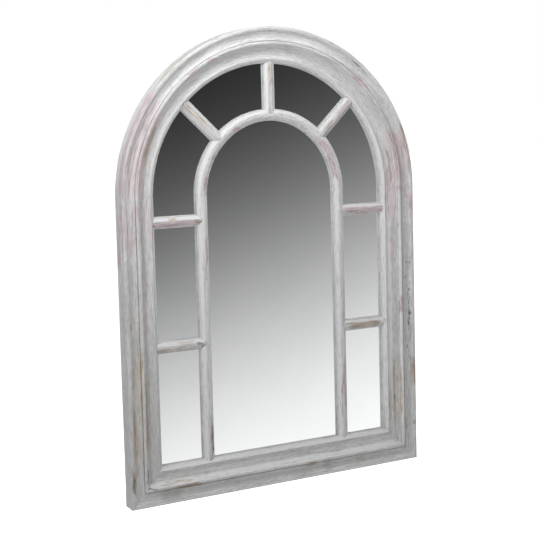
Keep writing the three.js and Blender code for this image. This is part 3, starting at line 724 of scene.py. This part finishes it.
def screw_mesh(name, x, z, seat, turn):
    """Pan head wood screw with a crossed recess, its thread hidden in the wood."""
    y = seat + GAP
    dome = [(3.4, y), (3.4, y + 0.35), (3.36, y + 0.7), (3.22, y + 1.05), (2.95, y + 1.42), (2.5, y + 1.8), (1.9, y + 2.08), (1.2, y + 2.23),
            (0.6, y + 2.29), (0, y + 2.3)]
    prof = [(0, THICK - 15)]
    d, i = THICK - 14.0, 0
    while d < y - 3.6:
        grown = min(1.0, (d - THICK + 14.6) / 3.0)
        prof += [(0.85 * grown + 0.15, d), (1.45 * grown, d + 0.55)]
        d += 1.1
    prof += [(1.1, y - 3.2), (1.35, y - 3.0), (1.4, y - 0.1), (1.4, y), (3.25, y)] + dome
    head = add_mesh(name, *turned_part(prof, x, z, 40))
    # crossed recess, cut with two tapered wedges
    ob = bpy.data.objects.new(name + "_solid", head)
    scene.collection.objects.link(ob)
    cutters = []
    for k in (0, 1):
        bm = bmesh.new()
        c, s = math.cos(turn + k * math.pi / 2), math.sin(turn + k * math.pi / 2)
        corners = []
        for depth, length, width in ((y + 0.75, 0.9, 0.28), (y + 2.6, 2.15, 0.48)):
            for a, b in ((-length, -width), (length, -width), (length, width), (-length, width)):
                corners.append(bm.verts.new(tuple(to_m((x + a * c - b * s, depth, z + a * s + b * c)))))
        lo, hi = corners[:4], corners[4:]
        bm.faces.new(lo)
        bm.faces.new(hi[::-1])
        for i in range(4):
            bm.faces.new((lo[i], hi[i], hi[(i + 1) % 4], lo[(i + 1) % 4]))
        bmesh.ops.recalc_face_normals(bm, faces=bm.faces)
        cm = bpy.data.meshes.new("cutter")
        bm.to_mesh(cm)
        bm.free()
        cut = bpy.data.objects.new("cutter", cm)
        scene.collection.objects.link(cut)
        cutters.append(cut)
        mod = ob.modifiers.new("cut", "BOOLEAN")
        mod.operation, mod.solver, mod.object = "DIFFERENCE", "EXACT", cut
    deps = bpy.context.evaluated_depsgraph_get()
    done = bpy.data.meshes.new_from_object(ob.evaluated_get(deps))
    done.name = name
    for o in [ob] + cutters:
        bpy.data.objects.remove(o)
    done.set_sharp_from_angle(angle=math.radians(38))
    return done


steel_pieces = []
for i, (x, z, a) in enumerate(clip_spots):
    t = math.radians(a)
    dx = -math.copysign(1, x) if a == 0 else (0 if z < SPRING else -math.cos(t))
    dz = 0 if a == 0 else (1 if z < SPRING else -math.sin(t))
    cx, cz = x + dx * 10, z + dz * 10
    loops = [stadium(cx, cz, a, 34, 13), circle(x, z, SCREW_HOLE, 32, hole=True)]
    V, F = plate(loops, THICK + GAP, THICK + GAP + CLIP_T - 0.25, 0.35, 3)
    # raised rib along the free end
    rib = stadium(x + dx * 13.5, z + dz * 13.5, a, 12, 3.4, 10)
    V2, F2 = plate([rib], THICK + GAP + 0.5, THICK + GAP + CLIP_T, 0.4, 4)
    ob = put(f"clip_{i + 1}_sheet", add_mesh(f"clip_{i + 1}_sheet", *joined((V, F), (V2, F2))), f"panel_clip_{i + 1}")
    steel_pieces.append(ob)
    ob = put(f"clip_{i + 1}_screw", screw_mesh(f"clip_{i + 1}_screw", x, z, THICK + GAP + CLIP_T, 0.4 + 0.7 * i), f"clip_screw_{i + 1}")
    steel_pieces.append(ob)

# hangers
HANGER_X, PLATE_W, PLATE_L, KNUCKLE_R, BORE, WIRE, RING_W, RING_DROP = 361.5, 16.0, 54.0, 3.9, 2.25, 1.75, 30.0, 25.0
AXIS_D = THICK + GAP + KNUCKLE_R


def strap(cx):
    """Steel strap: a flat tail with two screw holes, rolled at its top into a knuckle round the ring."""
    d0, d1, r = THICK + GAP, THICK + GAP + PLATE_T, PLATE_W / 2
    zb, top = HANGER_Z - PLATE_L + r, HANGER_Z - 2.2
    outline = [(cx + r, z) for z in np.linspace(zb, top, 12)] + [(cx - r, z) for z in np.linspace(top, zb, 12)]
    outline += [(cx + r * math.cos(a), zb + r * math.sin(a)) for a in np.linspace(math.pi, 2 * math.pi, 30)[1:-1]]
    holes = [circle(cx, z, SCREW_HOLE, 36, hole=True) for z in (HANGER_Z - 33, HANGER_Z - 47)]
    tail = plate([outline] + holes, d0, d1, 0.35, 3)
    # rolled end: a ring of sheet round the bore, its lip coming back on to the tail
    V, F = [], []
    n = 72
    across = [(-r, 0.35), (-r + 0.1, 0.12), (-r + 0.35, 0), (r - 0.35, 0), (r - 0.1, 0.12), (r, 0.35)]
    loop = [(x, KNUCKLE_R - o) for x, o in across] + [(x, BORE + 0.02 + o) for x, o in across[::-1]]
    m = len(loop)
    for i in range(n + 1):
        a = -math.pi / 2 - 0.35 + (2 * math.pi - 0.12) * i / n
        for x, rr in loop:
            V.append(to_m((cx + x, AXIS_D + rr * math.cos(a), HANGER_Z + rr * math.sin(a))))
    for i in range(n):
        for j in range(m):
            k = (j + 1) % m
            F.append((i * m + j, i * m + k, (i + 1) * m + k, (i + 1) * m + j))
    F.append(tuple(range(m)))
    F.append(tuple(n * m + j for j in range(m))[::-1])
    return joined(tail, (V, F))


def wire_ring(cx):
    """D-shaped ring of round wire, its ends butted inside the knuckle."""
    w, rc = RING_W / 2, 5.0
    drop = RING_DROP - w
    path = [(x, 0.0) for x in np.linspace(0.1, w - rc, 10)]
    path += [(w - rc + rc * math.cos(a), -rc + rc * math.sin(a)) for a in np.linspace(math.pi / 2, 0, 14)[1:]]
    path += [(w * math.cos(a), -drop + w * math.sin(a)) for a in np.linspace(0, -math.pi, 60)]
    path += [(-w + rc + rc * math.cos(a), -rc + rc * math.sin(a)) for a in np.linspace(math.pi, math.pi / 2, 14)]
    path += [(x, 0.0) for x in np.linspace(-w + rc, -0.1, 10)[1:]]
    P = np.array(path)
    keep = [0] + [i for i in range(1, len(P)) if np.linalg.norm(P[i] - P[i - 1]) > 1e-6]
    P = P[keep]
    T = np.gradient(P, axis=0)
    T /= np.linalg.norm(T, axis=1)[:, None]
    N = np.stack([-T[:, 1], T[:, 0]], -1)
    V, F, sides = [], [], 24
    for p, q, e in zip(P, N, range(len(P))):
        wr = WIRE - (0.25 if e in (0, len(P) - 1) else 0.0)
        for k in range(sides):
            a = 2 * math.pi * k / sides
            V.append(to_m((cx + p[0] + q[0] * wr * math.cos(a), AXIS_D + wr * math.sin(a), HANGER_Z + p[1] + q[1] * wr * math.cos(a))))
    for i in range(len(P) - 1):
        for k in range(sides):
            l = (k + 1) % sides
            F.append((i * sides + k, i * sides + l, (i + 1) * sides + l, (i + 1) * sides + k))
    F.append(tuple(range(sides))[::-1])
    F.append(tuple((len(P) - 1) * sides + k for k in range(sides)))
    return V, F


for side, s in (("left", -1), ("right", 1)):
    cx = s * HANGER_X
    steel_pieces.append(put(f"{side}_strap", add_mesh(f"{side}_strap", *strap(cx)), f"{side}_hanger_plate"))
    steel_pieces.append(put(f"{side}_wire_ring", add_mesh(f"{side}_wire_ring", *wire_ring(cx)), f"{side}_hanger_ring", f"{side}_ring"))
    for k, z in enumerate((HANGER_Z - 33, HANGER_Z - 47)):
        level = ("upper", "lower")[k]
        nm = f"{side}_strap_screw_{level}"
        steel_pieces.append(put(nm, screw_mesh(nm, cx, z, THICK + GAP + PLATE_T, 1.1 + k + s), f"{side}_hanger_screw_{level}"))

# bumpers: soft-edged discs, dished a little in the middle
rubber_pieces = []
for side, x in (("left", -330), ("right", 330)):
    y = THICK + GAP
    prof = [(0, y), (8.6, y), (8.9, y + 0.12), (9.0, y + 0.4), (9.0, y + 3.2), (8.93, y + 3.8), (8.7, y + 4.4), (8.3, y + 4.8), (7.7, y + 4.98),
            (7.2, y + 5.0), (6.0, y + 4.92), (4.0, y + 4.7), (2.0, y + 4.6), (0, y + 4.58)]
    rubber_pieces.append(put(f"{side}_bumper_disc", add_mesh(f"{side}_bumper_disc", *turned_part(prof, x, 38, 64)), f"{side}_wall_bumper"))


# ================================================================ materials
def srgb(r, g, b):
    def lin(c):
        c /= 255
        return c / 12.92 if c <= 0.04045 else ((c + 0.055) / 1.055) ** 2.4
    return (lin(r), lin(g), lin(b), 1)


class Tree:
    """Short names for building a node tree."""

    def __init__(self, tree):
        self.t = tree
        self.x = -1800

    def node(self, kind, **props):
        n = self.t.nodes.new(kind)
        self.x += 20
        n.location = (self.x, 0)
        for k, v in props.items():
            if k.startswith("in_"):
                continue
            setattr(n, k, v)
        return n

    def link(self, a, b):
        self.t.links.new(a, b)

    def put(self, socket, value):
        if isinstance(value, bpy.types.NodeSocket):
            self.link(value, socket)
        else:
            socket.default_value = value

    def math(self, op, a, b=None, c=None, clamp=False):
        n = self.node("ShaderNodeMath", operation=op, use_clamp=clamp)
        for i, v in enumerate((a, b, c)):
            if v is not None:
                self.put(n.inputs[i], v)
        return n.outputs[0]

    def mul(self, a, b):
        return self.math("MULTIPLY", a, b)

    def add(self, a, b):
        return self.math("ADD", a, b)

    def sub(self, a, b):
        return self.math("SUBTRACT", a, b)

    def vec(self, op, a, b):
        n = self.node("ShaderNodeVectorMath", operation=op)
        self.put(n.inputs[0], a)
        self.put(n.inputs[1], b)
        return n.outputs["Value"] if op == "DOT_PRODUCT" else n.outputs["Vector"]

    def ramp(self, v, a, b, lo=0.0, hi=1.0, kind="SMOOTHSTEP"):
        n = self.node("ShaderNodeMapRange", interpolation_type=kind)
        self.put(n.inputs["Value"], v)
        n.inputs["From Min"].default_value, n.inputs["From Max"].default_value = a, b
        n.inputs["To Min"].default_value, n.inputs["To Max"].default_value = lo, hi
        return n.outputs["Result"]

    def mix(self, f, a, b):
        n = self.node("ShaderNodeMix", data_type="RGBA")
        self.put(n.inputs[0], f)
        self.put(n.inputs[6], a)
        self.put(n.inputs[7], b)
        return n.outputs[2]

    def noise(self, vector, scale=1.0, detail=3.0, rough=0.55, distortion=0.0):
        n = self.node("ShaderNodeTexNoise")
        self.link(vector, n.inputs["Vector"])
        n.inputs["Scale"].default_value = scale
        n.inputs["Detail"].default_value = detail
        n.inputs["Roughness"].default_value = rough
        n.inputs["Distortion"].default_value = distortion
        return n.outputs["Fac"]

    def attribute(self, name):
        n = self.node("ShaderNodeAttribute", attribute_name=name)
        return n

    def bump(self, height, strength, distance, normal=None):
        n = self.node("ShaderNodeBump")
        self.put(n.inputs["Height"], height)
        n.inputs["Strength"].default_value = strength
        n.inputs["Distance"].default_value = distance
        if normal is not None:
            self.link(normal, n.inputs["Normal"])
        return n.outputs["Normal"]


def new_material(name):
    m = bpy.data.materials.new(name)
    m.use_nodes = True
    m.node_tree.nodes.clear()
    t = Tree(m.node_tree)
    out = t.node("ShaderNodeOutputMaterial")
    out.location = (600, 0)
    b = t.node("ShaderNodeBsdfPrincipled")
    b.location = (300, 0)
    t.link(b.outputs[0], out.inputs["Surface"])
    return m, t, b


def stretched(t, vector, across, along):
    return t.vec("MULTIPLY", vector, (1.0 / across, 1.0 / along, 1.0))


def whitewash():
    m, t, b = new_material("whitewashed_wood")
    g = t.attribute("grain").outputs["Vector"]

    def parts(name):
        sep = t.node("ShaderNodeSeparateXYZ")
        t.link(t.attribute(name).outputs["Vector"], sep.inputs[0])
        return sep.outputs
    crisp, hollow, quirk_shade = parts("form")
    mauve_at, brown_at, pale_paint_and_highlight_at = parts("marks")
    ochre_at, dark_grime_and_shade_at, grey_wash_and_shade_at = parts("tints")
    bare = t.attribute("bare").outputs["Fac"]

    def streaks(across, along, offset=(0, 0, 0), detail=3, rough=0.55):
        v = g if not any(offset) else t.vec("ADD", g, offset)
        return t.noise(stretched(t, v, across, along), detail=detail, rough=rough)

    # paint: white brushed thinly over a light grey ground, in strokes along each piece
    cloud = streaks(16, 105, detail=2)
    strokes = streaks(3.4, 52, (5, 9, 2), 3, 0.6)
    brush = streaks(1.8, 19, (11, 3, 7), 3, 0.62)
    hairs = streaks(1.1, 8, (2, 5, 1), 2, 0.6)
    tone = t.add(t.add(t.mul(cloud, 0.17), t.mul(strokes, 0.27)), t.add(t.mul(brush, 0.34), t.mul(hairs, 0.22)))
    paint = t.mix(t.ramp(tone, 0.385, 0.605), srgb(199, 200, 200), srgb(238, 238, 238))
    # grey wash, which on shaded flanks is painted shade
    grey = t.ramp(t.add(t.mul(grey_wash_and_shade_at, 0.62), t.sub(tone, 0.62)), 0.0, 0.5)
    paint = t.mix(t.mul(grey, 0.8), paint, srgb(190, 193, 190))
    # thicker white paint, and painted highlight where W bands lie on lit flanks, bevels and beads
    paint = t.mix(t.mul(t.ramp(t.add(t.mul(pale_paint_and_highlight_at, 0.5), t.sub(t.mul(t.add(strokes, brush), 0.5), 0.62)), -0.1, 0.42), 0.9), paint, srgb(246, 246, 247))
    # painted shade: colour darkened in the hollows and quirks, where shade falls
    hollow_shade = t.math("MULTIPLY", t.mul(hollow, 0.55), t.ramp(tone, 0.38, 0.62, 1.0, 0.72), clamp=True)
    paint = t.mix(hollow_shade, paint, srgb(163, 160, 157))

    # mauve undercoat showing through in long soft streaks
    m_noise = t.add(t.mul(streaks(5.0, 105, (1, 77, 3), 3, 0.62), 0.62), t.mul(brush, 0.38))
    m_base = t.add(t.sub(m_noise, 0.66), t.add(t.mul(mauve_at, 0.40), t.mul(crisp, 0.03)))
    m_mask = t.ramp(m_base, 0.0, 0.14)
    mauve = t.mix(t.ramp(t.add(t.mul(strokes, 0.5), t.mul(brush, 0.5)), 0.40, 0.60), srgb(196, 176, 180), srgb(231, 215, 219))
    colour = t.mix(t.mul(m_mask, 0.88), paint, mauve)

    # wood rubbed through: taupe or ochre at the edges of a patch, brown at its heart
    w_noise = t.add(t.mul(streaks(3.4, 75, (31, 7, 5), 3, 0.64), 0.58), t.mul(streaks(1.0, 22, (3, 17, 9), 3, 0.65), 0.42))
    w_base = t.add(t.sub(w_noise, 0.665), t.add(t.mul(t.math("MAXIMUM", brown_at, t.mul(ochre_at, 0.85)), 0.40), t.mul(crisp, 0.05)))
    w_mask = t.ramp(w_base, 0.0, 0.12)
    w_core = t.mul(t.ramp(w_base, 0.10, 0.26), t.ramp(t.sub(ochre_at, brown_at), -0.1, 0.4, 1.0, 0.15))
    hue = t.ramp(t.add(t.mul(ochre_at, 0.4), streaks(6, 150, (77, 3, 2), 2)), 0.48, 0.72)
    rubbed = t.mix(hue, srgb(205, 195, 187), srgb(222, 209, 192))
    colour = t.mix(t.mul(w_mask, 0.85), colour, rubbed)
    colour = t.mix(t.mul(w_core, 0.75), colour, srgb(177, 162, 150))

    # dark pores and scratches along the grain; painted shade as a dark line in the quirks; dark grime at the joints
    # together with painted shade in grooves and on shaded flanks
    pores = streaks(0.8, 26, (9, 40, 1), 2, 0.5)
    pore = t.ramp(t.add(pores, t.add(t.mul(w_mask, 0.07), t.add(t.mul(m_mask, 0.03), t.mul(dark_grime_and_shade_at, 0.12)))), 0.62, 0.72)
    colour = t.mix(t.mul(pore, 0.62), colour, srgb(120, 112, 106))
    # painted shade: a dark line along the concave quirks
    line = t.ramp(t.add(quirk_shade, t.mul(t.sub(brush, 0.5), 0.9)), 0.12, 0.7)
    colour = t.mix(t.mul(line, 0.9), colour, srgb(112, 104, 98))
    # dark grime at the joints, and painted shade in grooves and on shaded flanks
    dark = t.ramp(t.add(t.mul(dark_grime_and_shade_at, 0.55), t.mul(t.sub(brush, 0.5), 0.9)), 0.16, 0.52)
    colour = t.mix(t.mul(dark, 0.85), colour, srgb(98, 92, 86))

    # unpainted wood on the back and in the rebate
    fibre = streaks(1.4, 90, (0, 1, 0), 4, 0.6)
    rings = streaks(5.5, 420, (8, 1, 0), 2, 0.5)
    raw = t.mix(t.ramp(fibre, 0.35, 0.65), srgb(172, 143, 106), srgb(203, 178, 141))
    raw = t.mix(t.mul(t.ramp(rings, 0.42, 0.62), 0.35), raw, srgb(158, 124, 84))
    raw = t.mix(t.mul(pore, 0.6), raw, srgb(128, 98, 66))
    colour = t.mix(bare, colour, raw)

    t.link(colour, b.inputs["Base Color"])
    t.link(t.add(t.ramp(strokes, 0.3, 0.7, 0.55, 0.70), t.mul(w_mask, 0.12)), b.inputs["Roughness"])
    b.inputs["Specular IOR Level"].default_value = 0.3
    height = t.add(t.add(t.mul(strokes, 0.45), t.add(t.mul(brush, 0.35), t.mul(hairs, 0.25))),
                   t.sub(t.mul(pore, -0.5), t.mul(w_mask, 0.22)))
    t.link(t.bump(height, 0.6, 0.0006), b.inputs["Normal"])
    return m


def mirror_material():
    m, t, b = new_material("silvered_glass")
    co = t.node("ShaderNodeTexCoord").outputs["Object"]
    haze = t.noise(co, scale=6.0, detail=3)
    t.link(t.ramp(haze, 0.3, 0.7, 0.004, 0.012), b.inputs["Roughness"])
    b.inputs["Metallic"].default_value = 1.0
    t.link(t.mix(t.ramp(haze, 0.35, 0.65), (0.93, 0.945, 0.94, 1), (0.95, 0.96, 0.957, 1)), b.inputs["Base Color"])
    return m


def board_material():
    m, t, b = new_material("brown_hardboard")
    co = t.node("ShaderNodeTexCoord").outputs["Object"]
    fibres = t.noise(t.vec("MULTIPLY", co, (900, 900, 900)), detail=4, rough=0.7)
    clouds = t.noise(t.vec("MULTIPLY", co, (14, 14, 14)), detail=4, rough=0.6)
    c = t.mix(t.ramp(fibres, 0.35, 0.65), srgb(112, 80, 52), srgb(146, 110, 76))
    c = t.mix(t.mul(t.ramp(clouds, 0.4, 0.7), 0.35), c, srgb(96, 70, 48))
    t.link(c, b.inputs["Base Color"])
    b.inputs["Roughness"].default_value = 0.72
    t.link(t.bump(fibres, 0.35, 0.0004), b.inputs["Normal"])
    return m


def steel_material():
    m, t, b = new_material("zinc_plated_steel")
    co = t.node("ShaderNodeTexCoord").outputs["Object"]
    spangle = t.noise(t.vec("MULTIPLY", co, (260, 260, 260)), detail=2)
    scratch = t.noise(t.vec("MULTIPLY", co, (2600, 2600, 300)), detail=2)
    t.link(t.mix(t.ramp(spangle, 0.35, 0.65), (0.50, 0.51, 0.52, 1), (0.66, 0.67, 0.68, 1)), b.inputs["Base Color"])
    t.link(t.add(t.ramp(spangle, 0.3, 0.7, 0.24, 0.38), t.mul(scratch, 0.08)), b.inputs["Roughness"])
    b.inputs["Metallic"].default_value = 1.0
    t.link(t.bump(scratch, 0.15, 0.0001), b.inputs["Normal"])
    return m


def rubber_material():
    m, t, b = new_material("bumper_rubber")
    co = t.node("ShaderNodeTexCoord").outputs["Object"]
    n = t.noise(t.vec("MULTIPLY", co, (700, 700, 700)), detail=3)
    t.link(t.mix(t.ramp(n, 0.3, 0.7), (0.030, 0.029, 0.028, 1), (0.055, 0.053, 0.05, 1)), b.inputs["Base Color"])
    b.inputs["Roughness"].default_value = 0.85
    t.link(t.bump(n, 0.4, 0.0002), b.inputs["Normal"])
    return m


def give(ob, mat):
    ob.data.materials.clear()
    ob.data.materials.append(mat)


wood = whitewash()
for ob in made.values():
    give(ob, wood)
mirror, board, steel, rubber = mirror_material(), board_material(), steel_material(), rubber_material()


give(glass, mirror)
give(board_ob, board)
for ob in steel_pieces:
    give(ob, steel)
for ob in rubber_pieces:
    give(ob, rubber)


# ================================================================= lighting
def make_world():
    w = bpy.data.worlds.new("studio")
    scene.world = w
    w.use_nodes = True
    w.node_tree.nodes.clear()
    t = Tree(w.node_tree)
    out = t.node("ShaderNodeOutputWorld")
    out.location = (600, 0)
    d = t.node("ShaderNodeTexCoord").outputs["Generated"]
    sep = t.node("ShaderNodeSeparateXYZ")
    t.link(d, sep.inputs[0])
    z = sep.outputs["Z"]
    # what a mirror sees of the studio: white below, darker towards and above the horizon
    side = t.math("MINIMUM", t.math("MAXIMUM", t.vec("DOT_PRODUCT", d, (0.883, 0.469, 0.0)), -0.12), 0.12)
    level = t.sub(z, t.mul(side, 0.40))
    shade = t.ramp(level, -0.319, 0.110, 1.0, 0.135)
    # and a little greyer again straight down, under the object
    shade = t.mul(shade, t.ramp(z, -0.85, -0.42, 0.82, 1.0))
    seen = t.node("ShaderNodeBackground")
    t.put(seen.inputs["Color"], (1, 1, 1, 1))
    t.link(t.mul(t.math("POWER", t.mul(t.add(shade, 0.055), 1 / 1.055), 2.4), 1 / 0.95), seen.inputs["Strength"])
    # soft light: white card below, more from the sides than from the front
    fill = t.node("ShaderNodeBackground")
    t.put(fill.inputs["Color"], (1, 1, 1, 1))
    total = None
    for direction, strength in FILL:
        lobe = t.math("POWER", t.math("MAXIMUM", t.vec("DOT_PRODUCT", d, Vector(direction).normalized()), 0.0), 3.0)
        lobe = t.mul(lobe, strength)
        total = lobe if total is None else t.add(total, lobe)
    t.link(total, fill.inputs["Strength"])
    plain = t.node("ShaderNodeBackground")
    t.put(plain.inputs["Color"], (1, 1, 1, 1))
    plain.inputs["Strength"].default_value = 1.0
    lp = t.node("ShaderNodeLightPath")
    m1 = t.node("ShaderNodeMixShader")
    t.link(lp.outputs["Is Glossy Ray"], m1.inputs[0])
    t.link(fill.outputs[0], m1.inputs[1])
    t.link(seen.outputs[0], m1.inputs[2])
    m2 = t.node("ShaderNodeMixShader")
    t.link(lp.outputs["Is Camera Ray"], m2.inputs[0])
    t.link(m1.outputs[0], m2.inputs[1])
    t.link(plain.outputs[0], m2.inputs[2])
    t.link(m2.outputs[0], out.inputs["Surface"])


FILL = [((0, -0.35, -1), 0.940), ((-1, -0.35, 0), 0.625), ((1, -0.35, 0), 0.588), ((0, -0.35, 1), 0.480),
        ((0, 1, 0.3), 0.25)]
make_world()


def area(name, at, target, size, power, size_y=None):
    data = bpy.data.lights.new(name, "AREA")
    data.shape = "RECTANGLE"
    data.size, data.size_y = size, size_y or size
    data.energy = power
    ob = bpy.data.objects.new(name, data)
    ob.location = at
    ob.rotation_euler = (Vector(target) - Vector(at)).to_track_quat("-Z", "Y").to_euler()
    scene.collection.objects.link(ob)
    ob.visible_glossy = False
    ob.visible_camera = False
    return ob


area("key_light", (-1.0, -0.7, 0.9), (0, 0, 0.15), 0.5, 7.96)
area("top_light", (-0.2, -0.45, 0.9), (0, 0, 0.15), 0.3, 1.8)
area("right_light", (0.5, -0.7, 0.9), (0, 0, 0.15), 0.5, 1.43)
area("back_light", (-0.3, 2.3, 0.5), (0, 0, -0.1), 1.5, 34)

# pale floor, well below the hung mirror
me = bpy.data.meshes.new("floor")
bm = bmesh.new()
bmesh.ops.create_grid(bm, x_segments=8, y_segments=8, size=30)
bm.to_mesh(me)
bm.free()
floor = bpy.data.objects.new("floor", me)
floor.location = (0, 0, -1.1)
scene.collection.objects.link(floor)
fm, ft, fb = new_material("pale_floor")
fn = ft.noise(ft.node("ShaderNodeTexCoord").outputs["Object"], scale=0.6, detail=2)
pale = ft.mix(ft.ramp(fn, 0.3, 0.7), (0.93, 0.93, 0.93, 1), (0.96, 0.96, 0.96, 1))
ft.link(pale, fb.inputs["Base Color"])
ft.link(pale, fb.inputs["Emission Color"])
fb.inputs["Emission Strength"].default_value = 1.0
fb.inputs["Roughness"].default_value = 0.9
fb.inputs["Specular IOR Level"].default_value = 0.1
give(floor, fm)
floor.visible_glossy = False
floor.visible_diffuse = False

scene.view_settings.view_transform = "Standard"
scene.view_settings.look = "None"
